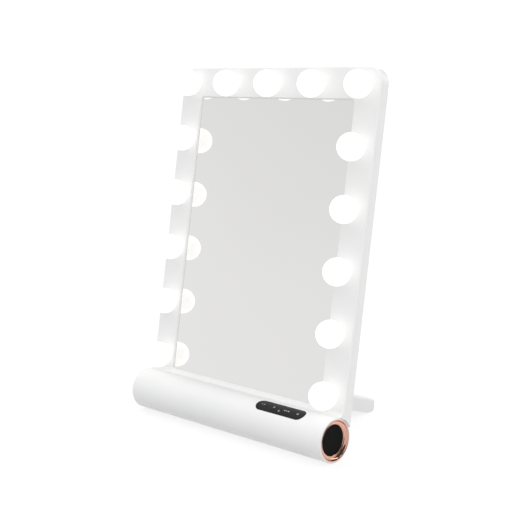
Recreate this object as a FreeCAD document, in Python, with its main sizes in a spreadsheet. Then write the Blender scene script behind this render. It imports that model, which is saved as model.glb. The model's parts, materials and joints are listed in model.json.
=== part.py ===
"""Lighted vanity mirror with a speaker tube for a base and a folding rear stand.

Row frame: millimetres, +Z up, +X to the right of someone facing the glass, +Y towards the
back.  The origin is on the table, under the centre of the whole mirror with its stand out.

Most pieces are drawn in the panel's own axes.  Those start on the speaker tube's axis: X as
above, Y backwards through the panel and Z up along it.  lean() tips them back to their place.
"""
import FreeCAD, Part
import math
import os
import Sketcher

DRIVING = {
    # overall
    "tilt": "9",
    "foot_height": "1",
    "stand_reach": "240",
    # speaker tube
    "tube_radius": "32",
    "tube_wall": "3",
    "tube_length": "401",
    "tube_edge": "1.2",
    "ring_seat_radius": "29.95",
    "ring_seat_depth": "2",
    "pad_centre": "150",
    "pad_length": "40",
    "pad_front": "-1",
    "pad_back": "11",
    # panel
    "panel_width": "406",
    "panel_top": "522",
    "panel_front": "10.5",
    "panel_depth": "16",
    "panel_corner": "25",
    "panel_edge": "3",
    "panel_back_edge": "1",
    "panel_blend": "7",
    "panel_wall": "3",
    "cover_thickness": "2",
    "cover_gap": "0.25",
    "cavity_bottom": "35",
    # glass
    "glass_width": "312.5",
    "glass_bottom": "39",
    "glass_top": "474.5",
    "glass_thickness": "3",
    "glass_recess": "2.6",
    "glass_corner": "4.5",
    "glass_gap": "0.05",
    "backing_thickness": "1",
    "backing_inset": "6",
    "backing_corner": "3",
    "pocket_floor": "2",
    "bevel_angle": "38",
    "bevel_depth": "2.2",
    "bevel_lead": "0.5",
    # bulbs
    "bulb_column": "174.5",
    "bulb_top": "494.5",
    "bulb_spacing": "87.25",
    "globe_radius": "20",
    "globe_wall": "1.4",
    "globe_standoff": "17.2",
    "globe_hole": "10.5",
    "neck_radius": "8.6",
    "neck_depth": "8",
    "retainer_radius": "12.5",
    "board_thickness": "1.2",
    "board_width": "14",
    "board_overhang": "12",
    "board_gap": "2",
    "chip_side": "3.6",
    "chip_height": "1",
    # screws
    "screw_radius": "1.4",
    "screw_head_radius": "2.8",
    "screw_head_height": "1.4",
    "screw_dome_radius": "3.8",
    "screw_slot_length": "3.6",
    "screw_slot_width": "0.8",
    "screw_slot_depth": "0.8",
    "screw_clearance": "0.1",
    "cover_screw_length": "9",
    "boss_radius": "4",
    "screw_column": "193",
    "screw_row": "512.5",
    # touch strip
    "touch_centre": "108.5",
    "touch_length": "93",
    "touch_width": "21",
    "touch_angle": "57",
    "touch_proud": "0.3",
    "touch_floor": "30.4",
    "touch_gap": "0.15",
    "touch_board_front": "26.5",
    "touch_board_thickness": "1.2",
    "touch_board_rise": "6",
    "touch_board_inset": "6",
    "touch_stub_radius": "1.5",
    "touch_stub_length": "3",
    "touch_stub_reach": "20",
    # drivers and grilles
    "grille_radius": "27.2",
    "grille_depth": "5.2",
    "grille_thickness": "0.8",
    "baffle_depth": "10",
    "baffle_thickness": "3",
    "baffle_opening": "21.5",
    "magnet_radius": "16",
    "magnet_depth": "26.7",
    "magnet_length": "11",
    # electronics
    "main_board_y": "13",
    "main_board_thickness": "1.6",
    "main_board_length": "130",
    "main_board_height": "34",
    "radio_x": "-40",
    "radio_length": "20",
    "radio_height": "16",
    "radio_thickness": "2.6",
    "amplifier_x": "14",
    "amplifier_side": "12",
    "amplifier_thickness": "3",
    "wire_slot_length": "16",
    "wire_slot_inset": "4",
    "post_radius": "3",
    "post_inset": "7",
    "post_drop": "6",
    "capacitor_radius": "4",
    "capacitor_length": "10",
    "capacitor_x": "34",
    "capacitor_spacing": "10",
    "capacitor_rise": "6",
    "inlet_x": "-130",
    "inlet_radius": "5.5",
    "inlet_bore": "3.2",
    "inlet_bore_depth": "9",
    "inlet_length": "12",
    # stand
    "stand_width": "160",
    "hinge_above_axis": "46",
    "hinge_behind_panel": "12.5",
    "barrel_radius": "11",
    "barrel_length": "117",
    "pin_radius": "2.5",
    "pin_clearance": "0.05",
    "lug_thickness": "10",
    "lug_radius": "8",
    "lug_gap": "0.5",
    "bracket_foot": "12",
    "bracket_base": "2",
    "bracket_half_height": "10",
    "pin_engagement": "20",
    "hinge_screw_rise": "5.5",
    "hinge_screw_length": "7",
    "stand_end_height": "19.5",
    "stand_end_heel": "7",
    "stand_heel_run": "6",
    "stand_foot_run": "12",
    "stand_foot_thickness": "1.2",
    "stand_top_slope": "18",
    "stand_under_slope": "16.4",
    "stand_edge": "3",
    "stand_start": "17",
    "stand_wall": "2.5",
    "stand_front_wall": "4.5",
    "stand_floor_setback": "2",
    "stand_neck_reach": "4",
    "stand_neck_under": "1",
    "stand_neck_drop": "3",
    "stand_cover_gap": "0.2",
    "stand_cover_thickness": "2",
    "stand_foot_half": "60",
}

DERIVED = {
    "axis_y": "=(tube_radius - stand_reach) / 2",
    "axis_z": "=tube_radius + foot_height",
    "tube_inner": "=tube_radius - tube_wall",
    "half_tube": "=tube_length / 2",
    "half_panel": "=panel_width / 2",
    "panel_back": "=panel_front + panel_depth",
    "inner_half": "=half_panel - panel_wall",
    "inner_top": "=panel_top - panel_wall",
    "inner_corner": "=panel_corner - panel_wall",
    "front_wall_back": "=panel_front + panel_wall",
    "pocket_depth": "=glass_recess + glass_thickness + backing_thickness",
    "floor_back": "=panel_front + pocket_depth + pocket_floor",
    "blend_y": "=panel_front - panel_blend",
    "blend_z": "=sqrt((tube_radius + panel_blend) ^ 2 - blend_y ^ 2)",
    "blend_share": "=tube_radius / (tube_radius + panel_blend)",
    "half_glass": "=glass_width / 2",
    "bevel_reach": "=(bevel_depth + bevel_lead) * tan(bevel_angle)",
    "bevel_start": "=panel_front - bevel_lead",
    "cover_front": "=panel_back - cover_thickness",
    "board_front": "=panel_front + neck_depth + 0.4",
    "main_board_back": "=main_board_y + main_board_thickness",
    "baffle_back": "=baffle_depth + baffle_thickness",
    "hinge_lug_inner": "=barrel_length / 2 + lug_gap",
    "hinge_lug_outer": "=hinge_lug_inner + lug_thickness",
    "hinge_screw_x": "=hinge_lug_outer + bracket_foot / 2",
    "stand_end": "=axis_y + stand_reach",
    "hinge_y": "=axis_y + hinge_above_axis * sin(tilt) + (panel_back + hinge_behind_panel) * cos(tilt)",
    "hinge_z": "=axis_z + hinge_above_axis * cos(tilt) - (panel_back + hinge_behind_panel) * sin(tilt)",
}

doc = FreeCAD.newDocument("vanity_mirror")
sheet = doc.addObject("Spreadsheet::Sheet", "d")
for row, (alias, content) in enumerate({**DRIVING, **DERIVED}.items(), start=1):
    cell = f"B{row}"
    sheet.set(f"A{row}", alias)
    sheet.set(cell, content)
    sheet.setAlias(cell, alias)
doc.recompute()

pieces = []


def value(expression):
    """The number that an expression over the sheet's aliases comes to."""
    return float(sheet.evalExpression(expression))


def bind(thing, **sizes):
    """Bind properties to expressions; a double underscore stands for the dot in a name."""
    for name, expression in sizes.items():
        thing.setExpression(name.replace("__", "."), expression)
    return thing


def keep(thing, label):
    """Name a finished piece, so that it is checked and written out."""
    thing.Label = label
    pieces.append(thing)
    return thing


def move(thing, x="0", y="0", z="0", turn=None, angle="0"):
    """Place a shape: turn is the axis it is turned about, by angle in degrees."""
    if turn:
        thing.Placement = FreeCAD.Placement(
            FreeCAD.Vector(), FreeCAD.Rotation(FreeCAD.Vector(*turn), value(angle)))
        bind(thing, Placement__Rotation__Angle=angle)
    return bind(thing, Placement__Base__x=x, Placement__Base__y=y, Placement__Base__z=z)


def group(shapes):
    """Separate solids that share one node, or one shape that needs a second placement."""
    compound = doc.addObject("Part::Compound", "group")
    compound.Links = list(shapes)
    return compound


def held(thing):
    """A primitive's placement is its place in the piece, so it is wrapped before it moves again."""
    primitives = ("Part::Box", "Part::Cylinder", "Part::Sphere")
    return group([thing]) if thing.TypeId in primitives else thing


def lean(thing):
    """Tip a piece drawn in the panel's axes back by the tilt, about the tube's axis."""
    return move(held(thing), y="d.axis_y", z="d.axis_z", turn=(-1, 0, 0), angle="d.tilt")


def lift(thing):
    """Move a piece drawn about the tube's axis to its height, without the tilt."""
    return move(held(thing), y="d.axis_y", z="d.axis_z")


# ---------------------------------------------------------------- Part primitives

def block(x, y, z):
    """A box from its low and high sides, each a pair of expressions."""
    box = doc.addObject("Part::Box", "block")
    bind(box, Length=f"({x[1]}) - ({x[0]})", Width=f"({y[1]}) - ({y[0]})", Height=f"({z[1]}) - ({z[0]})")
    return move(box, x[0], y[0], z[0])


def rod(radius, length, direction, x="0", y="0", z="0"):
    """A cylinder from a point, along one of the axes."""
    turns = {"X": ((0, 1, 0), "90"), "Y": ((-1, 0, 0), "90"), "Z": (None, "0")}
    cylinder = doc.addObject("Part::Cylinder", "rod")
    bind(cylinder, Radius=radius, Height=length)
    turn, angle = turns[direction]
    return move(cylinder, x, y, z, turn, angle)


def ball(radius, x, y, z):
    sphere = doc.addObject("Part::Sphere", "ball")
    bind(sphere, Radius=radius)
    return move(sphere, x, y, z)


def join(*shapes):
    fused = doc.addObject("Part::MultiFuse", "join")
    fused.Shapes = list(shapes)
    return fused


def cut(base, *tools):
    tool = tools[0] if len(tools) == 1 else join(*tools)
    result = doc.addObject("Part::Cut", "cut")
    result.Base = base
    result.Tool = tool
    return result


def overlap(first, second):
    result = doc.addObject("Part::Common", "common")
    result.Base = first
    result.Tool = second
    return result


def screw(across, seat, up, shank, outward=1):
    """A dome-headed screw with a crossed recess, its head outward of a seat that faces along Y."""
    start = seat if outward > 0 else f"{seat} - d.screw_head_height"
    top = f"{seat} + {outward} * d.screw_head_height"
    dome = overlap(
        rod("d.screw_head_radius", "d.screw_head_height", "Y", across, start, up),
        ball("d.screw_dome_radius", across, f"{top} - {outward} * d.screw_dome_radius", up))
    deep = (f"{top} - d.screw_slot_depth", f"{top} + d.screw_slot_depth")
    long_half = "d.screw_slot_length / 2"
    short_half = "d.screw_slot_width / 2"
    slots = [block((f"{across} - {wide}", f"{across} + {wide}"), deep, (f"{up} - {tall}", f"{up} + {tall}"))
             for wide, tall in ((long_half, short_half), (short_half, long_half))]
    shank_start = f"{seat} - ({shank})" if outward > 0 else seat
    return join(cut(dome, *slots), rod("d.screw_radius", shank, "Y", across, shank_start, up))


# ---------------------------------------------------------------- PartDesign bodies

def new_body(label):
    return keep(doc.addObject("PartDesign::Body", label), label)


def origin_feature(body, role):
    return next(item for item in body.Origin.OriginFeatures if item.Role == role)


def new_sketch(body, name, role, offset="0"):
    sketch = body.newObject("Sketcher::SketchObject", name)
    sketch.AttachmentSupport = [(origin_feature(body, role), "")]
    sketch.MapMode = "FlatFace"
    return bind(sketch, AttachmentOffset__Base__z=offset)


def fix_point(sketch, geometry, place, across, along):
    """Hold a point of a sketch at two bound distances from the sketch's origin."""
    for kind, expression in (("DistanceX", across), ("DistanceY", along)):
        limit = Sketcher.Constraint(kind, -1, 1, geometry, place, value(expression))
        number = sketch.addConstraint(limit)
        sketch.setExpression(f"Constraints[{number}]", expression)


def towards(here, there):
    """Signs of the step from one corner to the next, along a sketch's two axes."""
    steps = [value(far) - value(near) for near, far in zip(here[:2], there[:2])]
    return [0 if abs(step) < 1e-6 else int(math.copysign(1, step)) for step in steps]


def corner_points(corner, before, after):
    """Where an outline meets a corner and leaves it, as expressions, and the corner's centre."""
    if len(corner) == 2:
        return corner, corner, None
    across, along, radius = corner
    back = towards(corner, before)
    on = towards(corner, after)

    def offset(steps):
        return (f"({across}) + {steps[0]} * ({radius})", f"({along}) + {steps[1]} * ({radius})")

    return offset(back), offset(on), offset([back[0] + on[0], back[1] + on[1]])


def draw_arc(sketch, meet, leave, centre, radius):
    """A rounded corner.  Returns it with the numbers of the ends that meet and leave it."""
    middle = FreeCAD.Vector(value(centre[0]), value(centre[1]), 0)
    arms = [FreeCAD.Vector(value(point[0]), value(point[1]), 0) - middle for point in (meet, leave)]
    angles = [math.atan2(arm.y, arm.x) for arm in arms]
    turns_left = arms[0].cross(arms[1]).z > 0
    if not turns_left:
        angles.reverse()
    circle = Part.Circle(middle, FreeCAD.Vector(0, 0, 1), value(radius))
    arc = sketch.addGeometry(Part.ArcOfCircle(circle, angles[0], angles[0] + math.pi / 2))
    number = sketch.addConstraint(Sketcher.Constraint("Radius", arc, value(radius)))
    sketch.setExpression(f"Constraints[{number}]", radius)
    return (arc, 1, 2) if turns_left else (arc, 2, 1)


def draw_outline(sketch, corners):
    """A closed outline, its corners as pairs of expressions.

    A third expression is a radius, and rounds a corner between two sides that run along the
    sketch's axes.
    """
    around = zip(corners, corners[-1:] + corners[:-1], corners[1:] + corners[:1])
    meets = [corner_points(*three) for three in around]
    outline = []
    for step, (meet, leave, centre) in enumerate(meets):
        if centre:
            outline.append(draw_arc(sketch, meet, leave, centre, corners[step][2]))
        following = meets[(step + 1) % len(meets)][0]
        ends = [FreeCAD.Vector(value(point[0]), value(point[1]), 0) for point in (leave, following)]
        line = sketch.addGeometry(Part.LineSegment(*ends))
        fix_point(sketch, line, 1, *leave)
        if meets[(step + 1) % len(meets)][2]:
            fix_point(sketch, line, 2, *following)
        outline.append((line, 1, 2))
    for here, there in zip(outline, outline[1:] + outline[:1]):
        sketch.addConstraint(Sketcher.Constraint("Coincident", here[0], here[2], there[0], there[1]))


def draw_circle(sketch, across, along, radius):
    centre = FreeCAD.Vector(value(across), value(along), 0)
    circle = sketch.addGeometry(Part.Circle(centre, FreeCAD.Vector(0, 0, 1), value(radius)))
    number = sketch.addConstraint(Sketcher.Constraint("Radius", circle, value(radius)))
    sketch.setExpression(f"Constraints[{number}]", radius)
    fix_point(sketch, circle, 3, across, along)


def feature(body, kind, name, sketch, length, backwards=False, both_ways=False, taper=None):
    """A Pad or a Pocket of a sketch, its sides tapered if it has a taper."""
    made = body.newObject(f"PartDesign::{kind}", name)
    made.Profile = sketch
    made.Reversed = backwards
    if both_ways:
        made.SideType = "Symmetric"
    bind(made, Length=length)
    if taper:
        bind(made, TaperAngle=taper)
    doc.recompute()
    return made


def soften(body, name, base, radius, chosen):
    """Fillet the edges of a feature that a test picks."""
    edges = [f"Edge{number}" for number, edge in enumerate(base.Shape.Edges, start=1) if chosen(edge)]
    fillet = body.newObject("PartDesign::Fillet", name)
    fillet.Base = (base, edges)
    bind(fillet, Radius=radius)
    doc.recompute()
    return fillet


def rectangle(half_width, bottom, top, low_radius=None, high_radius=None):
    """A rectangle's corners, with the lower and the upper pair rounded if they have a radius."""
    left = f"-({half_width})"
    low = (low_radius,) if low_radius else ()
    high = (high_radius,) if high_radius else ()
    return [(left, bottom) + low, (half_width, bottom) + low, (half_width, top) + high, (left, top) + high]


def turned_body(label, side, profile):
    """A piece turned about the tube's axis near one end.

    The profile is a list of (radius, depth in from the tube's end).
    """
    body = new_body(label)
    sketch = new_sketch(body, f"{label}_profile", "XY_Plane")
    draw_outline(sketch, [(f"{side} * (d.half_tube - ({depth}))", radius) for radius, depth in profile])
    spin = body.newObject("PartDesign::Revolution", f"{label}_turn")
    spin.Profile = sketch
    spin.ReferenceAxis = (origin_feature(body, "X_Axis"), [""])
    spin.Angle = 360
    return lean(body)


# ---------------------------------------------------------------- panel

def bulb_places():
    """Every bulb's (across, up): the top row first, then down the two sides."""
    top = [(f"{step} * d.bulb_spacing", "d.bulb_top") for step in range(-2, 3)]
    sides = [(f"{side} * d.bulb_column", f"d.bulb_top - {step} * d.bulb_spacing")
             for side in (-1, 1) for step in range(1, 6)]
    return top + sides


def cover_screw_places():
    """Every cover screw's (across, up): one halfway between each pair of bulbs."""
    halfway = [step + 0.5 for step in range(5)]
    sides = [(f"{side} * d.screw_column", f"d.bulb_top - {step} * d.bulb_spacing")
             for side in (-1, 1) for step in halfway]
    top = [(f"{side} * {step} * d.bulb_spacing", "d.screw_row") for side in (-1, 1) for step in halfway[:2]]
    return sides + top


def hinge_screw_places():
    """Every hinge screw's (across, up): two on each bracket's foot."""
    return [(f"{side} * d.hinge_screw_x", f"d.hinge_above_axis + {step} * d.hinge_screw_rise")
            for side in (-1, 1) for step in (-1, 1)]


def add_blend(body):
    """The hollow curve by which the panel's front runs out onto the tube."""
    start = "d.blend_share * d.blend_y"
    sketch = new_sketch(body, "blend_block", "YZ_Plane")
    draw_outline(sketch, [(start, "d.tube_radius - 5"), ("d.panel_front + 1", "d.tube_radius - 5"),
                          ("d.panel_front + 1", "d.blend_z"), (start, "d.blend_z")])
    feature(body, "Pad", "blend_bar", sketch, "d.tube_length", both_ways=True)
    sketch = new_sketch(body, "blend_circle", "YZ_Plane")
    draw_circle(sketch, "d.blend_y", "d.blend_z", "d.panel_blend")
    feature(body, "Pocket", "blend_hollow", sketch, "d.panel_width + 10", both_ways=True)


def make_front_frame():
    """The moulded frame: glass pocket in front, bulb holes, and a cavity open to the back."""
    body = new_body("front_frame")
    sketch = new_sketch(body, "frame_outline", "XZ_Plane", "-d.panel_front")
    draw_outline(sketch, rectangle("d.half_panel", "0", "d.panel_top", high_radius="d.panel_corner"))
    slab = feature(body, "Pad", "frame_slab", sketch, "d.panel_depth", backwards=True)

    def on_rim(edge, depth):
        box = edge.BoundBox
        at_bottom = box.ZMax < 0.01
        return box.YLength < 0.01 and abs(box.YMin - value(depth)) < 0.01 and not at_bottom
    rim = soften(body, "front_rim", slab, "d.panel_edge", lambda edge: on_rim(edge, "d.panel_front"))
    soften(body, "back_rim", rim, "d.panel_back_edge", lambda edge: on_rim(edge, "d.panel_back"))
    add_blend(body)

    sketch = new_sketch(body, "cavity_outline", "XZ_Plane", "-d.panel_back")
    draw_outline(sketch, rectangle("d.inner_half", "d.cavity_bottom", "d.inner_top",
                                   high_radius="d.inner_corner"))
    feature(body, "Pocket", "cavity", sketch, "d.panel_back - d.floor_back", backwards=True)
    sketch = new_sketch(body, "rail_outline", "XZ_Plane", "-d.floor_back")
    inside = "d.half_glass + d.pocket_floor"
    over = "d.glass_top + d.pocket_floor"
    draw_outline(sketch, [
        ("-d.inner_half", "d.cavity_bottom"), (f"-({inside})", "d.cavity_bottom"), (f"-({inside})", over),
        (inside, over), (inside, "d.cavity_bottom"), ("d.inner_half", "d.cavity_bottom"),
        ("d.inner_half", "d.inner_top", "d.inner_corner"),
        ("-d.inner_half", "d.inner_top", "d.inner_corner")])
    feature(body, "Pocket", "rails", sketch, "d.floor_back - d.front_wall_back", backwards=True)

    sketch = new_sketch(body, "glass_outline", "XZ_Plane", "-d.panel_front")
    draw_outline(sketch, rectangle("d.half_glass", "d.glass_bottom", "d.glass_top",
                                   "d.glass_corner", "d.glass_corner"))
    feature(body, "Pocket", "glass_pocket", sketch, "d.pocket_depth")
    sketch = new_sketch(body, "bevel_outline", "XZ_Plane", "-d.bevel_start")
    draw_outline(sketch, rectangle(
        "d.half_glass + d.bevel_reach", "d.glass_bottom - d.bevel_reach", "d.glass_top + d.bevel_reach",
        "d.glass_corner + d.bevel_reach", "d.glass_corner + d.bevel_reach"))
    feature(body, "Pocket", "glass_bevel", sketch, "d.bevel_lead + d.bevel_depth", taper="-d.bevel_angle")

    sketch = new_sketch(body, "bulb_holes", "XZ_Plane", "-d.panel_front")
    for across, up in bulb_places():
        draw_circle(sketch, across, up, "d.globe_hole")
    feature(body, "Pocket", "bulb_hole", sketch, "d.panel_wall + 0.5")

    sketch = new_sketch(body, "boss_rings", "XZ_Plane", "-d.front_wall_back + 0.5")
    for across, up in cover_screw_places():
        draw_circle(sketch, across, up, "d.boss_radius")
        draw_circle(sketch, across, up, "d.screw_radius")
    feature(body, "Pad", "bosses", sketch, "d.cover_front - d.front_wall_back + 0.5", backwards=True)

    tube = body.newObject("PartDesign::SubtractiveCylinder", "tube_seat")
    bind(tube, Radius="d.tube_radius", Height="d.panel_width + 20")
    tube.AttachmentSupport = [(origin_feature(body, "YZ_Plane"), "")]
    tube.MapMode = "FlatFace"
    bind(tube, AttachmentOffset__Base__z="-d.half_panel - 10")
    return lean(body)


def make_back_cover():
    """The flat rear cover, let into the frame and held by screws into the frame's bosses."""
    body = new_body("back_cover")
    sketch = new_sketch(body, "cover_outline", "XZ_Plane", "-d.cover_front")
    draw_outline(sketch, rectangle("d.inner_half - d.cover_gap", "d.cavity_bottom + d.cover_gap",
                                   "d.inner_top - d.cover_gap", high_radius="d.inner_corner - d.cover_gap"))
    feature(body, "Pad", "cover_plate", sketch, "d.cover_thickness", backwards=True)
    sketch = new_sketch(body, "cover_holes", "XZ_Plane", "-d.cover_front")
    for across, up in cover_screw_places() + hinge_screw_places():
        draw_circle(sketch, across, up, "d.screw_radius + d.screw_clearance")
    feature(body, "Pocket", "cover_hole", sketch, "d.cover_thickness")
    return lean(body)


def make_cover_screws():
    screws = [screw(across, "d.panel_back", up, "d.cover_screw_length")
              for across, up in cover_screw_places()]
    keep(lean(group(screws)), "cover_screws")


def rounded_plate(label, half_width, bottom, top, front, thickness, radius):
    """A flat plate with four rounded corners, from its front face back."""
    body = new_body(label)
    sketch = new_sketch(body, f"{label}_outline", "XZ_Plane", f"-({front})")
    draw_outline(sketch, rectangle(half_width, bottom, top, radius, radius))
    feature(body, "Pad", f"{label}_plate", sketch, thickness, backwards=True)
    return lean(body)


def make_glass():
    rounded_plate("mirror_glass", "d.half_glass - d.glass_gap", "d.glass_bottom + d.glass_gap",
                  "d.glass_top - d.glass_gap", "d.panel_front + d.glass_recess", "d.glass_thickness",
                  "d.glass_corner - d.glass_gap")
    rounded_plate("glass_adhesive_pad", "d.half_glass - d.backing_inset",
                  "d.glass_bottom + d.backing_inset", "d.glass_top - d.backing_inset",
                  "d.panel_front + d.glass_recess + d.glass_thickness", "d.backing_thickness",
                  "d.backing_corner")


# ---------------------------------------------------------------- bulbs and their boards

def make_bulb(number, across, up):
    """A frosted globe with a short neck that goes through the frame."""
    centre = "d.panel_front - d.globe_standoff"
    neck_end = "d.panel_front + d.neck_depth"
    outer = join(ball("d.globe_radius", across, centre, up),
                 rod("d.neck_radius", f"{neck_end} - ({centre})", "Y", across, centre, up))
    inner = join(ball("d.globe_radius - d.globe_wall", across, centre, up),
                 rod("d.neck_radius - d.globe_wall", f"{neck_end} - ({centre}) + 1", "Y", across, centre, up))
    keep(lean(cut(outer, inner)), f"bulb_globe_{number:02d}")


def make_retainers():
    rings = []
    for across, up in bulb_places():
        length = "d.board_front - d.front_wall_back"
        ring = cut(rod("d.retainer_radius", length, "Y", across, "d.front_wall_back", up),
                   rod("d.neck_radius", length, "Y", across, "d.front_wall_back", up))
        rings.append(ring)
    keep(lean(group(rings)), "bulb_retainers")


def make_boards():
    back = ("d.board_front", "d.board_front + d.board_thickness")
    half = "d.board_width / 2"
    top = block(("-d.bulb_column - d.board_overhang", "d.bulb_column + d.board_overhang"), back,
                (f"d.bulb_top - {half}", f"d.bulb_top + {half}"))
    keep(lean(top), "led_board_top")
    for side, name in ((-1, "left"), (1, "right")):
        across = f"{side} * d.bulb_column"
        board = block((f"{across} - {half}", f"{across} + {half}"), back,
                      ("d.bulb_top - 5 * d.bulb_spacing - d.board_overhang",
                       f"d.bulb_top - {half} - d.board_gap"))
        keep(lean(board), f"led_board_{name}")


def make_chips():
    half = "d.chip_side / 2"
    chips = [block((f"{across} - {half}", f"{across} + {half}"),
                   ("d.board_front - d.chip_height", "d.board_front"),
                   (f"{up} - {half}", f"{up} + {half}")) for across, up in bulb_places()]
    keep(lean(group(chips)), "led_chips")


# ---------------------------------------------------------------- speaker tube

def tube_wall():
    """The whole tube's wall, with a seat for a trim ring at each end."""
    start = "-d.half_tube"
    solid = rod("d.tube_radius", "d.tube_length", "X", start)
    doc.recompute()
    tube = doc.addObject("Part::Fillet", "rounded_ends")
    tube.Base = solid
    ends = [number for number, edge in enumerate(solid.Shape.Edges, start=1) if edge.BoundBox.XLength < 0.01]
    tube.Edges = [(number, value("d.tube_edge"), value("d.tube_edge")) for number in ends]
    bore = rod("d.tube_inner", "d.tube_length + 2", "X", f"{start} - 1")
    left = rod("d.ring_seat_radius", "d.ring_seat_depth + 1", "X", f"{start} - 1")
    right = rod("d.ring_seat_radius", "d.ring_seat_depth + 1", "X", "d.half_tube - d.ring_seat_depth")
    return cut(tube, bore, left, right)


def half_space(front):
    """A block that takes away everything in front of, or behind, the panel's front plane."""
    depth = ("-50", "d.panel_front") if front else ("d.panel_front", "50")
    return block(("-d.half_tube - 5", "d.half_tube + 5"), depth, ("-50", "50"))


def touch_prism(shrink):
    """A round-ended bar that points straight out of the tube through the touch strip."""
    width = f"d.touch_width - 2 * ({shrink})"
    straight = "d.touch_length - d.touch_width"
    bar = block((f"-({straight}) / 2", f"({straight}) / 2"), ("-50", "0"),
                (f"-({width}) / 2", f"({width}) / 2"))
    ends = [rod(f"({width}) / 2", "50", "Y", f"{side} * ({straight}) / 2", "-50") for side in (-1, 1)]
    prism = join(bar, *ends)
    return move(prism, "d.touch_centre", turn=(-1, 0, 0), angle="d.touch_angle")


def make_tube_front():
    """The front shell, with a sunk seat for the touch strip."""
    full = overlap(touch_prism("0"), rod("d.tube_radius + 5", "d.tube_length", "X", "-d.half_tube"))
    seat = cut(full, rod("d.touch_floor", "d.tube_length", "X", "-d.half_tube"))
    keep(lean(cut(tube_wall(), half_space(False), seat)), "speaker_tube_front")


def board_post_places():
    reach = "(d.main_board_length / 2 - d.post_inset)"
    rise = "(d.main_board_height / 2 - d.post_drop)"
    return [(f"{side} * {reach}", f"{level} * {rise}") for side in (-1, 1) for level in (-1, 1)]


def make_tube_rear():
    """The rear shell, with posts for the main board, a power inlet hole and a wire slot."""
    posts = join(*[rod("d.post_radius", "30", "Y", across, "d.main_board_back", up)
                   for across, up in board_post_places()])
    posts = overlap(posts, rod("d.tube_inner + 1", "d.tube_length", "X", "-d.half_tube"))
    slot = block(("-d.wire_slot_length / 2", "d.wire_slot_length / 2"),
                 ("d.panel_front + d.wire_slot_inset", "d.panel_back - d.wire_slot_inset"),
                 ("d.tube_radius / 2", "d.tube_radius + 5"))
    inlet = rod("d.inlet_radius", "60", "Y", "d.inlet_x")
    move(inlet, "d.inlet_x", turn=(-1, 0, 0), angle="90 - d.tilt")
    shell = cut(tube_wall(), half_space(True), slot, inlet)
    keep(lean(join(shell, posts)), "speaker_tube_rear")


def make_touch_strip():
    outside = rod("d.tube_radius + d.touch_proud", "d.tube_length", "X", "-d.half_tube")
    skin = cut(outside, rod("d.touch_floor", "d.tube_length", "X", "-d.half_tube"))
    keep(lean(overlap(touch_prism("d.touch_gap"), skin)), "touch_strip")


def make_touch_board():
    """The sensing board on two stubs under the touch strip."""
    half = "d.touch_length / 2 - d.touch_board_inset"
    board = block((f"-({half})", half),
                  ("-d.touch_board_front", "-d.touch_board_front + d.touch_board_thickness"),
                  ("-d.touch_board_rise", "d.touch_board_rise"))
    stubs = [rod("d.touch_stub_radius", "d.touch_stub_length", "Y", f"{side} * d.touch_stub_reach",
                 "-d.touch_board_front - 2")
             for side in (-1, 1)]
    piece = join(board, *stubs)
    angle = "d.touch_angle + d.tilt"
    keep(move(piece, "d.touch_centre", "d.axis_y", "d.axis_z", turn=(-1, 0, 0), angle=angle), "touch_board")


def on_board(middle, length, height, thickness):
    """A block on the front of the main board, from the aliases of its middle and its three sizes."""
    return block((f"d.{middle} - d.{length} / 2", f"d.{middle} + d.{length} / 2"),
                 (f"d.main_board_y - d.{thickness}", "d.main_board_y"),
                 (f"-d.{height} / 2", f"d.{height} / 2"))


def make_main_board():
    half = "d.main_board_length / 2"
    rise = "d.main_board_height / 2"
    board = block((f"-({half})", half), ("d.main_board_y", "d.main_board_back"), (f"-({rise})", rise))
    holes = [rod("d.screw_radius", "5", "Y", across, "d.main_board_y - 1", up)
             for across, up in board_post_places()]
    keep(lean(cut(board, *holes)), "main_board")
    keep(lean(on_board("radio_x", "radio_length", "radio_height", "radio_thickness")), "radio_module")
    keep(lean(on_board("amplifier_x", "amplifier_side", "amplifier_side", "amplifier_thickness")),
         "amplifier_heatsink")
    cans = [rod("d.capacitor_radius", "d.capacitor_length", "Y",
                f"d.capacitor_x + {step} * d.capacitor_spacing", "d.main_board_y - d.capacitor_length",
                "d.capacitor_rise")
            for step in (0, 1)]
    keep(lean(group(cans)), "capacitors")
    screws = [screw(across, "d.main_board_y", up, "d.main_board_thickness", -1)
              for across, up in board_post_places()]
    keep(lean(group(screws)), "main_board_screws")


def make_power_inlet():
    """A round low-voltage socket in the back of the tube."""
    start = "d.tube_radius - d.inlet_length"
    barrel = overlap(rod("d.inlet_radius", "d.inlet_length + 5", "Y", "d.inlet_x", start),
                     rod("d.tube_radius", "d.tube_length", "X", "-d.half_tube"))
    bore = rod("d.inlet_bore", "d.inlet_bore_depth + 5", "Y", "d.inlet_x",
               "d.tube_radius - d.inlet_bore_depth")
    keep(lift(cut(barrel, bore)), "power_inlet")


def make_foot_pads():
    """Soft pads that fill the space between the table and the tube, just behind its lowest line."""
    for side, name in ((-1, "left"), (1, "right")):
        middle = f"{side} * d.pad_centre"
        pad = block((f"{middle} - d.pad_length / 2", f"{middle} + d.pad_length / 2"),
                    ("d.pad_front", "d.pad_back"), ("-d.axis_z", "-d.tube_radius + 5"))
        pad = cut(pad, rod("d.tube_radius", "d.tube_length", "X", "-d.half_tube"))
        keep(lift(pad), f"foot_pad_{name}")


# ---------------------------------------------------------------- drivers

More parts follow.
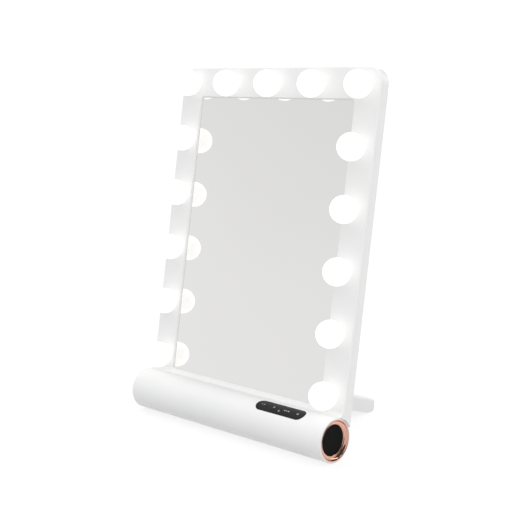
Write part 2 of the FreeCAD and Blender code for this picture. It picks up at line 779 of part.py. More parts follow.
def make_end(side, name):
    """One end of the tube: trim ring, grille, baffle and driver."""
    dish = [("29.9", "0.3"), ("29.6", "0"), ("29", "0"), ("28.4", "0.7"), ("27.6", "2.4"), ("26.2", "3.8"),
            ("24.4", "4.5"), ("23.7", "4.3"), ("23", "4.2"), ("22.4", "4.6")]
    lip = [("22.4", "d.grille_depth"), ("27.4", "d.grille_depth"), ("27.4", "7.8"), ("28.9", "7.8")]
    flange = [("28.9", "d.ring_seat_depth"), ("29.9", "d.ring_seat_depth")]
    turned_body(f"trim_ring_{name}", side, dish + lip + flange)
    grille_back = "d.grille_depth + d.grille_thickness"
    turned_body(f"grille_{name}", side, [
        ("0", "d.grille_depth"), ("d.grille_radius", "d.grille_depth"),
        ("d.grille_radius", grille_back), ("0", grille_back)])
    back = "d.baffle_back"
    turned_body(f"baffle_{name}", side, [
        ("d.baffle_opening", "d.baffle_depth"), ("d.tube_inner", "d.baffle_depth"),
        ("d.tube_inner", back), ("d.baffle_opening", back)])
    turned_body(f"driver_basket_{name}", side, [
        ("21.8", back), ("26", back), ("26", f"{back} + 1.5"), ("23.4", f"{back} + 1.5"),
        ("14.2", "d.magnet_depth"), ("6.5", "d.magnet_depth"), ("6.5", "d.magnet_depth - 1.2"),
        ("13.4", "d.magnet_depth - 1.2"), ("21.8", f"{back} + 1.2")])
    turned_body(f"driver_surround_{name}", side, [
        ("18.7", back), ("19.4", f"{back} - 0.8"), ("20.6", f"{back} - 0.8"), ("21.3", back), ("21.8", back),
        ("21.8", f"{back} + 0.8"), ("18.7", f"{back} + 0.8")])
    turned_body(f"driver_cone_{name}", side, [
        ("0", "20.4"), ("5", "21.4"), ("17.9", back), ("18.3", back), ("18.3", f"{back} + 1.2"),
        ("5.8", "22.8"), ("5.8", "24"), ("4.8", "24"), ("4.8", "22.4"), ("0", "21.4")])
    turned_body(f"driver_magnet_{name}", side, [
        ("0", "d.magnet_depth"), ("d.magnet_radius", "d.magnet_depth"),
        ("d.magnet_radius", "d.magnet_depth + d.magnet_length"), ("0", "d.magnet_depth + d.magnet_length")])


# ---------------------------------------------------------------- folding stand

def stand_line(height, slope, start, y):
    """Height of a straight line that rises forwards from a point on the stand's end."""
    return f"{height} + ({start} - ({y})) * tan({slope})"


def make_stand():
    """The stand leg: a hollow wedge with a hinge barrel, closed on top by its own cover."""
    body = new_body("stand_leg")
    begin = "d.hinge_y + d.stand_start"
    heel = "d.stand_end - d.stand_heel_run"
    toe = "d.stand_end - d.stand_heel_run - d.stand_foot_run"
    floor = "d.stand_foot_thickness"

    def top(y):
        return stand_line("d.stand_end_height", "d.stand_top_slope", "d.stand_end", y)

    def under(y):
        return stand_line(floor, "d.stand_under_slope", toe, y)

    sketch = new_sketch(body, "stand_side", "YZ_Plane")
    draw_outline(sketch, [(begin, under(begin)), (toe, floor), (heel, floor),
                          ("d.stand_end", "d.stand_end_heel"), ("d.stand_end", "d.stand_end_height"),
                          (begin, top(begin))])
    wedge = feature(body, "Pad", "stand_wedge", sketch, "d.stand_width", both_ways=True)

    def on_side(edge):
        box = edge.BoundBox
        return box.XLength < 0.01 and box.ZMin > value(floor) + 0.01
    wedge = soften(body, "stand_edges", wedge, "d.stand_edge", on_side)

    neck_end = f"{begin} + d.stand_neck_reach"
    sketch = new_sketch(body, "stand_neck", "YZ_Plane")
    draw_outline(sketch, [
        ("d.hinge_y", "d.hinge_z - d.barrel_radius"), (neck_end, f"{under(begin)} + d.stand_neck_under"),
        (neck_end, f"{top(begin)} - d.stand_neck_drop"), ("d.hinge_y", "d.hinge_z + d.barrel_radius")])
    feature(body, "Pad", "stand_web", sketch, "d.barrel_length", both_ways=True)
    sketch = new_sketch(body, "stand_barrel", "YZ_Plane")
    draw_circle(sketch, "d.hinge_y", "d.hinge_z", "d.barrel_radius")
    feature(body, "Pad", "stand_knuckle", sketch, "d.barrel_length", both_ways=True)
    sketch = new_sketch(body, "stand_bore", "YZ_Plane")
    draw_circle(sketch, "d.hinge_y", "d.hinge_z", "d.pin_radius + d.pin_clearance")
    feature(body, "Pocket", "pin_bore", sketch, "d.stand_width + 10", both_ways=True)

    wall = "d.stand_wall"
    inner_begin = f"{begin} + d.stand_front_wall"
    inner_end = f"d.stand_end - {wall}"
    low_end = f"{toe} - d.stand_floor_setback"
    sketch = new_sketch(body, "stand_hollow", "YZ_Plane")
    draw_outline(sketch, [
        (inner_begin, f"{under(inner_begin)} + {wall}"), (low_end, f"{under(low_end)} + {wall}"),
        (inner_end, f"d.stand_end_heel + {wall}"), (inner_end, f"{top(inner_end)} + 5"),
        (inner_begin, f"{top(inner_begin)} + 5")])
    feature(body, "Pocket", "stand_tray", sketch, f"d.stand_width - 2 * {wall}", both_ways=True)

    cover = new_body("stand_cover")
    sketch = new_sketch(cover, "stand_cover_side", "YZ_Plane")
    gap = "d.stand_cover_gap"
    thick = "d.stand_cover_thickness"
    front = f"{inner_begin} + {gap}"
    rear = f"{inner_end} - {gap}"
    draw_outline(sketch, [
        (front, f"{top(front)} - {thick}"), (rear, f"{top(rear)} - {thick}"),
        (rear, top(rear)), (front, top(front))])
    feature(cover, "Pad", "stand_lid", sketch, f"d.stand_width - 2 * ({wall} + {gap})", both_ways=True)

    foot = block(("-d.stand_foot_half", "d.stand_foot_half"), (toe, heel), ("0", floor))
    keep(foot, "stand_foot_pad")


def make_hinge(side, name):
    """One hinge bracket on the back of the panel, with the pin that is pressed into it."""
    inner = f"{side} * d.hinge_lug_inner"
    outer = f"{side} * d.hinge_lug_outer"
    foot = f"{side} * (d.hinge_lug_outer + d.bracket_foot)"
    low, high = (inner, outer) if side > 0 else (outer, inner)
    foot_low, foot_high = (inner, foot) if side > 0 else (foot, inner)
    reach = "d.panel_back + d.hinge_behind_panel"
    middle = "d.hinge_above_axis"
    lug = join(block((low, high), ("d.panel_back", reach),
                     (f"{middle} - d.lug_radius", f"{middle} + d.lug_radius")),
               rod("d.lug_radius", "d.lug_thickness", "X", low, reach, middle),
               block((foot_low, foot_high), ("d.panel_back", "d.panel_back + d.bracket_base"),
                     (f"{middle} - d.bracket_half_height", f"{middle} + d.bracket_half_height")))
    bore = rod("d.pin_radius", "d.lug_thickness + 1", "X", f"{low} - 0.5", reach, middle)
    holes = [rod("d.screw_radius + d.screw_clearance", "d.bracket_base + 1", "Y", across,
                 "d.panel_back - 0.5", up)
             for across, up in hinge_screw_places()]
    keep(lean(cut(lug, bore, *holes)), f"hinge_bracket_{name}")
    begin = f"{inner} - d.pin_engagement" if side > 0 else outer
    pin = rod("d.pin_radius", "d.lug_thickness + d.pin_engagement", "X", begin, reach, middle)
    keep(lean(pin), f"hinge_pin_{name}")


def make_hinge_screws():
    """Screws that hold the brackets' feet to the cover, and reach through it."""
    screws = [screw(across, "d.panel_back + d.bracket_base", up, "d.hinge_screw_length")
              for across, up in hinge_screw_places()]
    keep(lean(group(screws)), "hinge_screws")


def build():
    make_front_frame()
    make_back_cover()
    make_cover_screws()
    make_glass()
    for number, (across, up) in enumerate(bulb_places(), start=1):
        make_bulb(number, across, up)
    make_retainers()
    make_boards()
    make_chips()
    make_tube_front()
    make_tube_rear()
    make_touch_strip()
    make_touch_board()
    make_main_board()
    make_power_inlet()
    make_foot_pads()
    for side, name in ((-1, "left"), (1, "right")):
        make_end(side, name)
        make_hinge(side, name)
    make_hinge_screws()
    make_stand()
    doc.recompute()


def check():
    """Stop with a plain message if anything failed to build."""
    for item in doc.Objects:
        if "Invalid" in item.State or "Error" in item.State:
            raise RuntimeError(f"{item.Name} ({item.Label}) failed: {item.State}")
    for piece in pieces:
        if piece.Shape.isNull() or not piece.Shape.isValid():
            raise RuntimeError(f"{piece.Label} has no valid shape")


def write():
    os.makedirs("parts", exist_ok=True)
    for piece in pieces:
        piece.Shape.exportStep(f"parts/{piece.Label}.step")
        print(f"{piece.Label}: {piece.Shape.Volume:.0f} mm3 in {len(piece.Shape.Solids)} solid(s)")


build()
check()
write()
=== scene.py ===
import json
import math

import bmesh
import bpy
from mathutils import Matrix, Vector


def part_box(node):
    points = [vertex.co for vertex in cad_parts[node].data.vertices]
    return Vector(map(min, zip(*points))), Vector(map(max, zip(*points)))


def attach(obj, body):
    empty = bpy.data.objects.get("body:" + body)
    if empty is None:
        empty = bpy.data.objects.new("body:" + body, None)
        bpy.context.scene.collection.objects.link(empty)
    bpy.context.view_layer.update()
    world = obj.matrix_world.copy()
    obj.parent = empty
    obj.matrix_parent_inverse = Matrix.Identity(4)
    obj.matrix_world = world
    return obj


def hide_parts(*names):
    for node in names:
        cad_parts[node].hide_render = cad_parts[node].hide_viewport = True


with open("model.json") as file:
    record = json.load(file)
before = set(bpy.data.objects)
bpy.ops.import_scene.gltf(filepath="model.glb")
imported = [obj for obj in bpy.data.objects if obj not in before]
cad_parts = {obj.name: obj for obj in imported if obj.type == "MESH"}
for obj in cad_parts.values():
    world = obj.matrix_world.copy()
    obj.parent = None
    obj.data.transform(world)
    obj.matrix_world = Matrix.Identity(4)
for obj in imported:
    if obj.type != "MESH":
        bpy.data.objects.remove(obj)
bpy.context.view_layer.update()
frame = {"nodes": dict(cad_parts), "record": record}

MM = 0.001

# Camera, with its angles in degrees
CAMERA_PLACE = (1.19166, -1.27192, 0.52939)
CAMERA_PITCH = 81.187
CAMERA_YAW = 44.4295
CAMERA_LENS = 80.452
CAMERA_SENSOR = 36

# Studio, with its angles in degrees
FLOOR_HALF = 30.0
BOUNCE_FLOOR_DROP = 0.2 * MM
WORLD_LEVEL = 0.90
WORLD_TO_RIGHT = -0.09
WORLD_TO_BACK = 0.18
WORLD_UPWARDS = -0.06
WORLD_HORIZON = 0.07
HORIZON_HEIGHT = 0.26
SUN_STRENGTH = 0.72
SUN_ANGLE = 110
SUN_TILT = 8
FILL_STRENGTH = 0.74
FILL_FROM = (0.66, -0.65, 0.38)
FLOOR_GLOW = 0.84
SCREEN_DISTANCE = 12.0
SCREEN_GAP = 0.1
# Screens: (azimuths from and to), (heights from and to)
DARK_SCREENS = {"high": ((-65, 110), (22, 80)),
                "middle": ((-40, 60), (17, 22)),
                "low": ((2, 36), (-16, 17))}
BRIGHT_SCREEN = ((50, 72), (18, 66))
SCREEN_STEPS = 24

# Trim ring: (radius, depth in from the tube's end), in millimetres
RING_FACE = ((29.9, 0.4), (29.75, 0.08), (29.4, 0.0), (29.0, 0.05), (28.6, 0.5), (27.9, 1.9), (26.7, 3.4),
             (25.2, 4.3), (24.2, 4.45), (23.7, 4.25), (23.2, 4.1), (22.8, 4.2), (22.45, 4.6))
RING_BACK = ((22.4, 5.2), (27.4, 5.2), (27.4, 7.8), (28.9, 7.8), (28.9, 2.0), (29.9, 2.0))
RING_STEPS = 160
FACE_STEPS = 6
RING_SHARP_ANGLE = 50

# Grille
HOLE_PITCH = 1.8 * MM
HOLE_RADIUS = 0.6 * MM
HOLE_SIDES = 12
GRILLE_BORDER = 0.7 * MM
GRILLE_RIM_STEPS = 144
GRILLE_MERGE = 0.01 * MM

# Icons on the touch strip: places across are measured from the mirror's middle
TUBE_RADIUS = 32 * MM
TUBE_AXIS_Z = 33 * MM
ICON_RADIUS = 32.31 * MM
ICON_THICKNESS = 0.05 * MM
ICON_ANGLE = math.radians(64)
ICON_MERGE = 0.001 * MM


# ---------------------------------------------------------------- materials

class Painter:
    """One material's node tree, with the few node patterns that the materials share."""

    def __init__(self, name):
        self.material = bpy.data.materials.new(name)
        self.material.use_nodes = True
        self.nodes = self.material.node_tree.nodes
        self.links = self.material.node_tree.links
        self.shader = self.nodes["Principled BSDF"]
        self.place = self.nodes.new("ShaderNodeTexCoord").outputs["Object"]

    def set(self, **values):
        """Sets shader inputs that are the same all over the surface."""
        for name, amount in values.items():
            self.shader.inputs[name.replace("_", " ")].default_value = amount
        return self

    def stretched(self, scale):
        """Places scaled along each axis, so that a pattern runs long where the scale is small."""
        mapping = self.nodes.new("ShaderNodeMapping")
        mapping.inputs["Scale"].default_value = scale
        self.links.new(self.place, mapping.inputs["Vector"])
        return mapping.outputs["Vector"]

    def noise(self, feature, detail=3.0, scale=None):
        """Noise whose lumps are about one feature wide, in metres."""
        node = self.nodes.new("ShaderNodeTexNoise")
        node.inputs["Scale"].default_value = 1 / feature
        node.inputs["Detail"].default_value = detail
        self.links.new(self.stretched(scale) if scale else self.place, node.inputs["Vector"])
        return node.outputs["Fac"]

    def cells(self, feature):
        """A pebbled grain, with pebbles about one feature wide."""
        node = self.nodes.new("ShaderNodeTexVoronoi")
        node.inputs["Scale"].default_value = 1 / feature
        self.links.new(self.place, node.inputs["Vector"])
        return node.outputs["Distance"]

    def between(self, factor, low, high):
        """A number that wanders from low to high with the factor."""
        node = self.nodes.new("ShaderNodeMapRange")
        node.inputs["From Min"].default_value = 0.3
        node.inputs["From Max"].default_value = 0.7
        node.inputs["To Min"].default_value = low
        node.inputs["To Max"].default_value = high
        self.links.new(factor, node.inputs["Value"])
        return node.outputs["Result"]

    def tint(self, factor, low, high):
        """A colour that wanders from low to high with the factor."""
        node = self.nodes.new("ShaderNodeValToRGB")
        node.color_ramp.elements[0].position = 0.3
        node.color_ramp.elements[1].position = 0.7
        node.color_ramp.elements[0].color = (*low, 1)
        node.color_ramp.elements[1].color = (*high, 1)
        self.links.new(factor, node.inputs["Fac"])
        return node.outputs["Color"]

    def colour(self, factor, low, high):
        self.links.new(self.tint(factor, low, high), self.shader.inputs["Base Color"])
        return self

    def glow(self, factor, low, high):
        self.links.new(self.tint(factor, low, high), self.shader.inputs["Emission Color"])
        return self

    def roughness(self, factor, low, high):
        self.links.new(self.between(factor, low, high), self.shader.inputs["Roughness"])
        return self

    def bump(self, factor, depth, strength=1.0):
        """Fine relief of the given depth, in metres."""
        node = self.nodes.new("ShaderNodeBump")
        node.inputs["Distance"].default_value = depth
        node.inputs["Strength"].default_value = strength
        self.links.new(factor, node.inputs["Height"])
        self.links.new(node.outputs["Normal"], self.shader.inputs["Normal"])
        return self


def white_gloss():
    paint = Painter("white_gloss")
    paint.set(Coat_Weight=0.25, Coat_Roughness=0.08, IOR=1.48)
    paint.colour(paint.noise(90 * MM), (0.835, 0.837, 0.840), (0.855, 0.855, 0.855))
    paint.roughness(paint.noise(18 * MM), 0.30, 0.38)
    return paint.bump(paint.noise(1.6 * MM), 0.004 * MM)


def white_satin():
    paint = Painter("white_satin")
    paint.set(IOR=1.48)
    paint.colour(paint.noise(60 * MM), (0.765, 0.767, 0.770), (0.790, 0.790, 0.790))
    paint.roughness(paint.noise(9 * MM), 0.48, 0.58)
    return paint.bump(paint.cells(0.55 * MM), 0.02 * MM, 0.6)


def mirror():
    paint = Painter("mirror")
    paint.set(Metallic=1.0)
    paint.colour(paint.noise(220 * MM, 1.0), (0.852, 0.848, 0.840), (0.862, 0.858, 0.852))
    return paint.roughness(paint.noise(45 * MM), 0.006, 0.018)


def frosted_globe():
    paint = Painter("frosted_globe")
    paint.set(Emission_Strength=0.92, IOR=1.5)
    paint.colour(paint.noise(7 * MM), (0.28, 0.277, 0.273), (0.34, 0.337, 0.333))
    paint.roughness(paint.noise(0.9 * MM), 0.30, 0.42)
    paint.glow(paint.noise(14 * MM, 2.0), (1.0, 0.985, 0.96), (1.0, 0.995, 0.98))
    return paint.bump(paint.noise(0.5 * MM), 0.01 * MM, 0.5)


def led_light():
    paint = Painter("led_light")
    paint.set(Emission_Strength=2.2)
    paint.colour(paint.noise(1.2 * MM), (0.95, 0.92, 0.80), (1.0, 0.98, 0.90))
    paint.glow(paint.noise(2 * MM), (0.96, 0.96, 0.94), (1.0, 1.0, 1.0))
    return paint.roughness(paint.noise(2 * MM), 0.3, 0.5)


def rose_gold():
    paint = Painter("rose_gold")
    paint.set(Metallic=1.0)
    paint.colour(paint.noise(16 * MM), (0.71, 0.40, 0.32), (0.78, 0.45, 0.36))
    paint.roughness(paint.noise(4 * MM), 0.05, 0.12)
    return paint.bump(paint.noise(0.4 * MM, 2.0, (0.15, 1, 1)), 0.001 * MM, 0.5)


def black_grille():
    paint = Painter("black_grille")
    paint.set(Specular_IOR_Level=0.09)
    paint.colour(paint.noise(5 * MM), (0.005, 0.005, 0.005), (0.010, 0.010, 0.009))
    paint.roughness(paint.noise(1.5 * MM), 0.42, 0.58)
    return paint.bump(paint.noise(0.25 * MM), 0.01 * MM, 0.5)


def black_gloss():
    paint = Painter("black_gloss")
    paint.set(Specular_IOR_Level=0.11)
    paint.colour(paint.noise(12 * MM), (0.010, 0.010, 0.011), (0.017, 0.017, 0.018))
    return paint.roughness(paint.noise(6 * MM), 0.10, 0.20)


def dark_plastic():
    paint = Painter("dark_plastic")
    paint.colour(paint.noise(11 * MM), (0.020, 0.020, 0.021), (0.034, 0.034, 0.035))
    paint.roughness(paint.noise(3 * MM), 0.48, 0.62)
    return paint.bump(paint.cells(0.4 * MM), 0.02 * MM, 0.6)


def rubber():
    paint = Painter("rubber")
    paint.colour(paint.noise(6 * MM), (0.030, 0.030, 0.030), (0.050, 0.050, 0.049))
    paint.roughness(paint.noise(2 * MM), 0.72, 0.88)
    return paint.bump(paint.noise(0.35 * MM), 0.03 * MM, 0.7)


def pale_rubber():
    paint = Painter("pale_rubber")
    paint.colour(paint.noise(6 * MM), (0.66, 0.66, 0.65), (0.72, 0.72, 0.71))
    paint.roughness(paint.noise(2 * MM), 0.60, 0.75)
    return paint.bump(paint.noise(0.35 * MM), 0.02 * MM, 0.6)


def foam():
    paint = Painter("foam")
    paint.colour(paint.cells(0.9 * MM), (0.55, 0.55, 0.52), (0.72, 0.72, 0.69))
    paint.roughness(paint.noise(3 * MM), 0.85, 0.95)
    return paint.bump(paint.cells(0.9 * MM), 0.12 * MM)


def paper_cone():
    paint = Painter("paper_cone")
    paint.colour(paint.noise(1.1 * MM, 6.0), (0.020, 0.020, 0.019), (0.052, 0.051, 0.048))
    paint.roughness(paint.noise(1 * MM), 0.75, 0.92)
    return paint.bump(paint.noise(0.6 * MM, 6.0), 0.06 * MM)


def circuit_board():
    paint = Painter("circuit_board")
    tracks = paint.noise(2.4 * MM, 0.0, (1, 1, 0.12))
    paint.colour(tracks, (0.010, 0.090, 0.040), (0.030, 0.200, 0.090))
    paint.roughness(paint.noise(5 * MM), 0.26, 0.40)
    return paint.bump(tracks, 0.03 * MM)


def steel():
    paint = Painter("steel")
    paint.set(Metallic=1.0)
    paint.colour(paint.noise(5 * MM), (0.50, 0.50, 0.49), (0.62, 0.62, 0.61))
    paint.roughness(paint.noise(0.5 * MM, 3.0, (0.08, 1, 1)), 0.24, 0.40)
    return paint.bump(paint.noise(0.4 * MM, 3.0, (0.08, 1, 1)), 0.004 * MM)


MAKERS = (white_gloss, white_satin, mirror, frosted_globe, led_light, rose_gold, black_grille,
          black_gloss, dark_plastic, rubber, pale_rubber, foam, paper_cone, circuit_board, steel)
MATERIALS = {maker.__name__: maker().material for maker in MAKERS}


def paint_frame():
    """Gives every CAD node the material of its slot in the record."""
    for part in frame["record"]["subparts"]:
        node = frame["nodes"][part["node"]]
        for slot in node.material_slots:
            slot.material = MATERIALS[part["material_slot"]]


# ---------------------------------------------------------------- own pieces

def piece(name, mesh, body, slot):
    """Adds one piece of the object, in its slot's material, riding on a body."""
    thing = bpy.data.objects.new(name, mesh)
    bpy.context.scene.collection.objects.link(thing)
    mesh.materials.append(MATERIALS[slot])
    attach(thing, body)
    return thing


def thicken(thing, thickness):
    """Gives a flat surface its thickness, half to each side."""
    solid = thing.modifiers.new("thickness", "SOLIDIFY")
    solid.thickness = thickness
    solid.offset = 0


def grille_centres(radius):
    """Hole centres of a hexagonal pattern that keeps whole cells inside the radius."""
    row_step = HOLE_PITCH * math.sqrt(3) / 2
    reach = int(radius / row_step) + 1
    cell_reach = HOLE_PITCH / math.sqrt(3)
    for row in range(-reach, reach + 1):
        for column in range(-reach - 1, reach + 2):
            across = (column + (row % 2) / 2) * HOLE_PITCH
            up = row * row_step
            if math.hypot(across, up) + cell_reach < radius:
                yield across, up


def cell_edge(turn):
    """Distance from a cell's centre to its edge, in the direction of turn."""
    sector = math.pi / 3
    offset = (turn + sector / 2) % sector - sector / 2
    return HOLE_PITCH / 2 / math.cos(offset)


def round_points(work, across, up, distances):
    """New vertices in the YZ plane round one point, at evenly spaced turns."""
    count = len(distances)
    turns = [2 * math.pi * step / count for step in range(count)]
    return [work.verts.new((0, across + distance * math.cos(turn), up + distance * math.sin(turn)))
            for distance, turn in zip(distances, turns)]


def add_cell(work, across, up):
    """The sheet between one round hole and the edge of its hexagonal cell."""
    inner = round_points(work, across, up, [HOLE_RADIUS] * HOLE_SIDES)
    edges = [cell_edge(2 * math.pi * step / HOLE_SIDES) for step in range(HOLE_SIDES)]
    outer = round_points(work, across, up, edges)
    for step in range(HOLE_SIDES):
        after = (step + 1) % HOLE_SIDES
        work.faces.new((inner[step], outer[step], outer[after], inner[after]))


def grille_mesh(name, radius):
    """A flat disc in the YZ plane, centred on the origin, with a round hole in each cell."""
    work = bmesh.new()
    for across, up in grille_centres(radius - GRILLE_BORDER):
        add_cell(work, across, up)
    bmesh.ops.remove_doubles(work, verts=work.verts, dist=GRILLE_MERGE)
    # A hole's sides are shorter than a cell's, so the longer open edges are the border of the cells.
    hole_side = 2 * HOLE_RADIUS * math.sin(math.pi / HOLE_SIDES)
    longer = hole_side + GRILLE_MERGE
    border = [edge for edge in work.edges if edge.is_boundary and edge.calc_length() > longer]
    rim = round_points(work, 0, 0, [radius] * GRILLE_RIM_STEPS)
    rim_edges = [work.edges.new((rim[step], rim[(step + 1) % GRILLE_RIM_STEPS]))
                 for step in range(GRILLE_RIM_STEPS)]
    bmesh.ops.triangle_fill(work, use_beauty=True, edges=border + rim_edges)
    bmesh.ops.recalc_face_normals(work, faces=work.faces)
    mesh = bpy.data.meshes.new(name + "_mesh")
    work.to_mesh(mesh)
    work.free()
    return mesh


def make_grille(side):
    """A perforated sheet as wide and as thick as the CAD grille that it stands for."""
    name = "grille_" + side
    low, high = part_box(name)
    centre = Vector([(a + b) / 2 for a, b in zip(low, high)])
    mesh = grille_mesh(name, (high[1] - low[1]) / 2)
    for vertex in mesh.vertices:
        vertex.co += centre
    sheet = piece("perforated_" + name, mesh, "mirror", "black_grille")
    thicken(sheet, high[0] - low[0])
    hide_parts(name)


def smooth_through(points, steps):
    """Points of a Catmull-Rom curve through the given ones, steps to each span."""
    ends = [points[0], *points, points[-1]]
    curve = []
    for before, start, end, after in zip(ends, ends[1:], ends[2:], ends[3:]):
        for step in range(steps):
            t = step / steps
            curve.append(tuple(
                0.5 * (2 * b + (c - a) * t + (2 * a - 5 * b + 4 * c - d) * t * t
                       + (3 * b - a - 3 * c + d) * t ** 3)
                for a, b, c, d in zip(before, start, end, after)))
    return curve + [points[-1]]


def make_ring(side, name):
    """The polished trim ring: a dished face with a bead at its inner edge, turned about the tube's axis."""
    low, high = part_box("trim_ring_" + name)
    end = high[0] if side > 0 else low[0]
    axis_y = (low[1] + high[1]) / 2
    axis_z = (low[2] + high[2]) / 2
    profile = smooth_through(RING_FACE, FACE_STEPS) + list(RING_BACK)
    work = bmesh.new()
    rounds = []
    for step in range(RING_STEPS):
        turn = 2 * math.pi * step / RING_STEPS
        rounds.append([work.verts.new((end - side * depth * MM, axis_y + radius * MM * math.cos(turn),
                                       axis_z + radius * MM * math.sin(turn))) for radius, depth in profile])
    for step in range(RING_STEPS):
        here, there = rounds[step], rounds[(step + 1) % RING_STEPS]
        for k in range(len(profile)):
            after = (k + 1) % len(profile)
            work.faces.new((here[k], here[after], there[after], there[k]))
    bmesh.ops.recalc_face_normals(work, faces=work.faces)
    mesh = bpy.data.meshes.new("polished_ring_" + name)
    work.to_mesh(mesh)
    work.free()
    mesh.shade_smooth()
    mesh.set_sharp_from_angle(angle=math.radians(RING_SHARP_ANGLE))
    ring = piece("polished_ring_" + name, mesh, "mirror", "rose_gold")
    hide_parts("trim_ring_" + name)


def on_strip(across, up, lift):
    """A point of the touch strip: across along X, up along its curve, lifted off the surface."""
    low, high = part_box("speaker_tube_front")
    axis_y = low[1] + TUBE_RADIUS
    angle = ICON_ANGLE + up / ICON_RADIUS
    radius = ICON_RADIUS + lift
    return (across, axis_y - radius * math.cos(angle), TUBE_AXIS_Z + radius * math.sin(angle))


def ring_part(centre, inner, outer, start, end, steps):
    """Quads of a flat ring or arc, angles in degrees, counted from the right, anticlockwise."""
    quads = []
    for step in range(steps):
        here, there = [math.radians(start + (end - start) * k / steps) for k in (step, step + 1)]
        corners = ((inner, here), (outer, here), (outer, there), (inner, there))
        quads.append([(centre + radius * math.cos(turn), radius * math.sin(turn))
                      for radius, turn in corners])
    return quads


def bar(centre, up, width, height):
    left, right = centre - width / 2, centre + width / 2
    bottom, top = up - height / 2, up + height / 2
    return [[(left, bottom), (right, bottom), (right, top), (left, top)]]


def sun(centre, size):
    """A disc with eight rays, for brightness."""
    pinhole = 0.02 * MM
    half_ray = 6
    shapes = ring_part(centre, pinhole, size * 0.42, 0, 360, 20)
    for turn in range(0, 360, 45):
        shapes += ring_part(centre, size * 0.62, size, turn - half_ray, turn + half_ray, 1)
    return shapes


def power(centre):
    """An open ring with a bar in its gap."""
    inner, outer = 1.05 * MM, 1.4 * MM
    gap_start, gap_end = 55, 125
    ring = ring_part(centre, inner, outer, gap_end, gap_start + 360, 24)
    return ring + bar(centre, inner, outer - inner, 1.3 * MM)


def arrow(centre, way):
    """A triangle that points right where way is 1, and left where it is -1."""
    tail = centre - way * 0.8 * MM
    tip = centre + way * 1.0 * MM
    half_height = 1.0 * MM
    return [[(tail, -half_height), (tip, 0), (tail, half_height)]]


def track_controls(centre):
    """Back, play and forward."""
    step = 3.6 * MM
    stop = step + 1.4 * MM
    shapes = arrow(centre - step, -1) + arrow(centre, 1) + arrow(centre + step, 1)
    for place in (centre - stop, centre + stop):
        shapes += bar(place, 0, 0.45 * MM, 2.0 * MM)
    return shapes


def level(centre):
    """Three rising bars, for loudness."""
    heights = (1.1 * MM, 1.9 * MM, 2.7 * MM)
    spacing = 1.1 * MM
    shapes = []
    for step, height in enumerate(heights):
        shapes += bar(centre + (step - 1) * spacing, (height - heights[-1]) / 2, 0.6 * MM, height)
    return shapes


def raised(shapes, up):
    return [[(across, height + up) for across, height in shape] for shape in shapes]


def make_icon(name, shapes):
    """One printed icon, its shapes joined where they meet and laid on the strip's curve."""
    work = bmesh.new()
    for shape in shapes:
        work.faces.new([work.verts.new(on_strip(across, up, ICON_THICKNESS / 2)) for across, up in shape])
    bmesh.ops.remove_doubles(work, verts=work.verts, dist=ICON_MERGE)
    bmesh.ops.recalc_face_normals(work, faces=work.faces)
    mesh = bpy.data.meshes.new(name)
    work.to_mesh(mesh)
    work.free()
    thicken(piece(name, mesh, "mirror", "white_satin"), ICON_THICKNESS)


def make_icons():
    """Generic marks on three rows of the strip."""
    upper = 1.6 * MM
    middle = 0.8 * MM
    lower = -2.8 * MM
    minus = bar(72.2 * MM, 0, 2.6 * MM, 0.5 * MM)
    make_icon("icon_dimmer", raised(minus + sun(77.2 * MM, 1.4 * MM), upper))
    make_icon("icon_brighter", raised(sun(96 * MM, 1.6 * MM), upper))
    make_icon("icon_power", raised(power(108.4 * MM), lower))
    make_icon("icon_play", raised(track_controls(121 * MM), middle))
    make_icon("icon_level", raised(level(142 * MM), middle))


# ---------------------------------------------------------------- studio

def make_world():
    """Soft white light from all round.

    It is a little weaker from the right, the front and above, and strongest from the horizon down.
    """
    world = bpy.data.worlds.new("studio")
    world.use_nodes = True
    bpy.context.scene.world = world
    nodes, links = world.node_tree.nodes, world.node_tree.links
    direction = nodes.new("ShaderNodeTexCoord").outputs["Generated"]
    weigh = nodes.new("ShaderNodeVectorMath")
    weigh.operation = "DOT_PRODUCT"
    weigh.inputs[1].default_value = (WORLD_TO_RIGHT, WORLD_TO_BACK, WORLD_UPWARDS)
    links.new(direction, weigh.inputs[0])
    height = nodes.new("ShaderNodeSeparateXYZ")
    links.new(direction, height.inputs["Vector"])
    horizon = nodes.new("ShaderNodeMapRange")
    horizon.interpolation_type = "SMOOTHSTEP"
    horizon.inputs["From Min"].default_value = HORIZON_HEIGHT
    horizon.inputs["From Max"].default_value = 0
    horizon.inputs["To Min"].default_value = WORLD_LEVEL
    horizon.inputs["To Max"].default_value = WORLD_LEVEL + WORLD_HORIZON
    links.new(height.outputs["Z"], horizon.inputs["Value"])
    total = nodes.new("ShaderNodeMath")
    links.new(weigh.outputs["Value"], total.inputs[0])
    links.new(horizon.outputs["Result"], total.inputs[1])
    links.new(total.outputs["Value"], nodes["Background"].inputs["Strength"])
    nodes["Background"].inputs["Color"].default_value = (1, 1, 1, 1)


def stage_mesh(name, points, faces, material):
    """A surface of the studio, which isn't part of the object."""
    mesh = bpy.data.meshes.new(name)
    mesh.from_pydata(points, [], faces)
    thing = bpy.data.objects.new(name, mesh)
    bpy.context.scene.collection.objects.link(thing)
    mesh.materials.append(material)
    return thing


def shown_floor():
    paint = Painter("floor")
    paint.set(Roughness=0.9, Specular_IOR_Level=0.1)
    paint.set(Emission_Color=(1, 1, 1, 1), Emission_Strength=FLOOR_GLOW)
    return paint.colour(paint.noise(900 * MM), (0.155, 0.155, 0.155), (0.165, 0.165, 0.165))


def bounce_floor():
    paint = Painter("bounce")
    paint.set(Roughness=0.9, Specular_IOR_Level=0.1)
    return paint.colour(paint.noise(900 * MM), (0.53, 0.53, 0.53), (0.55, 0.55, 0.55))


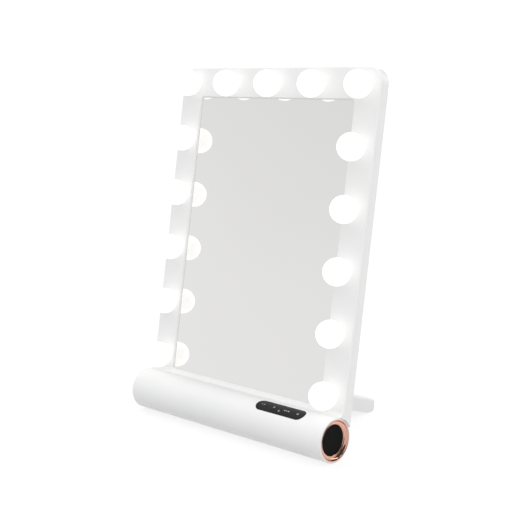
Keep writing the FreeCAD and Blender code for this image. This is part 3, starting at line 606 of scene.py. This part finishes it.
def make_floor_layer(name, paint, height, shown):
    """A square of floor, either shown to the camera or only lighting the object."""
    half = FLOOR_HALF
    corners = [(-half, -half, height), (half, -half, height), (half, half, height), (-half, half, height)]
    layer = stage_mesh(name, corners, [(0, 1, 2, 3)], paint.material)
    layer.visible_diffuse = not shown
    layer.visible_camera = shown
    layer.visible_glossy = False
    layer.visible_shadow = False


def make_floor():
    """A white floor that glows, so that its shadows stay faint, over a greyer one that lights the object.

    Reflections see neither, but the world's pale lower half, so that the mirror shows no horizon.
    """
    make_floor_layer("floor", shown_floor(), 0, True)
    make_floor_layer("bounce_floor", bounce_floor(), -BOUNCE_FLOOR_DROP, False)


def make_soft_light(name, strength, turn):
    """Light from a broad patch of sky, turned the given way."""
    data = bpy.data.lights.new(name, "SUN")
    data.angle = math.radians(SUN_ANGLE)
    data.energy = strength
    lamp = bpy.data.objects.new(name, data)
    lamp.rotation_euler = turn
    bpy.context.scene.collection.objects.link(lamp)
    return lamp


def make_lights():
    """One light overhead, and one from the front right that reflections don't see."""
    make_soft_light("overhead", SUN_STRENGTH, (math.radians(SUN_TILT), math.radians(SUN_TILT), 0))
    towards_fill = Vector(FILL_FROM).to_track_quat("Z", "Y").to_euler()
    make_soft_light("fill", FILL_STRENGTH, towards_fill).visible_glossy = False


def screen_point(azimuth, height, distance):
    """A point on a dome round the right-hand ring, from its azimuth and height angle in degrees."""
    low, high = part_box("trim_ring_right")
    turn, rise = math.radians(azimuth), math.radians(height)
    return (high[0] + distance * math.cos(rise) * math.cos(turn),
            (low[1] + high[1]) / 2 + distance * math.cos(rise) * math.sin(turn),
            (low[2] + high[2]) / 2 + distance * math.sin(rise))


def spread(ends):
    """Evenly spaced numbers from the first end to the second, one for each line of a screen's grid."""
    return [ends[0] + (ends[1] - ends[0]) * step / SCREEN_STEPS for step in range(SCREEN_STEPS + 1)]


def make_screen(name, azimuths, heights, distance, material):
    """A patch of a dome round the right-hand ring, seen only in reflections."""
    points = [screen_point(azimuth, height, distance)
              for height in spread(heights) for azimuth in spread(azimuths)]
    row_length = SCREEN_STEPS + 1
    faces = []
    for row in range(SCREEN_STEPS):
        for column in range(SCREEN_STEPS):
            corner = row * row_length + column
            faces.append((corner, corner + 1, corner + row_length + 1, corner + row_length))
    screen = stage_mesh(name, points, faces, material)
    screen.visible_camera = False
    screen.visible_diffuse = False
    screen.visible_shadow = False


def dark_screen():
    paint = Painter("dark_screen")
    paint.set(Roughness=0.9, Specular_IOR_Level=0.1)
    return paint.colour(paint.noise(2000 * MM), (0.05, 0.05, 0.05), (0.12, 0.12, 0.12))


def bright_screen():
    paint = Painter("bright_screen")
    paint.set(Emission_Color=(1.0, 0.90, 0.70, 1), Emission_Strength=1.6)
    return paint.roughness(paint.noise(50 * MM), 0.8, 0.9)


def make_screens():
    """Dark screens and a bright strip that give the polished ring its bands.

    The dark ones are high up, or behind the plane of the mirror, so that it hardly ever shows them.
    """
    dark = dark_screen().material
    for place, (azimuths, heights) in DARK_SCREENS.items():
        make_screen(place + "_dark_screen", azimuths, heights, SCREEN_DISTANCE, dark)
    make_screen("bright_screen", *BRIGHT_SCREEN, SCREEN_DISTANCE - SCREEN_GAP, bright_screen().material)


def make_camera():
    data = bpy.data.cameras.new("camera")
    data.sensor_width = CAMERA_SENSOR
    data.lens = CAMERA_LENS
    camera = bpy.data.objects.new("camera", data)
    camera.location = CAMERA_PLACE
    camera.rotation_euler = (math.radians(CAMERA_PITCH), 0, math.radians(CAMERA_YAW))
    bpy.context.scene.collection.objects.link(camera)
    bpy.context.scene.camera = camera


make_camera()
paint_frame()
make_grille("left")
make_grille("right")
make_ring(-1, "left")
make_ring(1, "right")
make_icons()
make_world()
make_floor()
make_lights()
make_screens()
bpy.context.scene.view_settings.view_transform = "Standard"
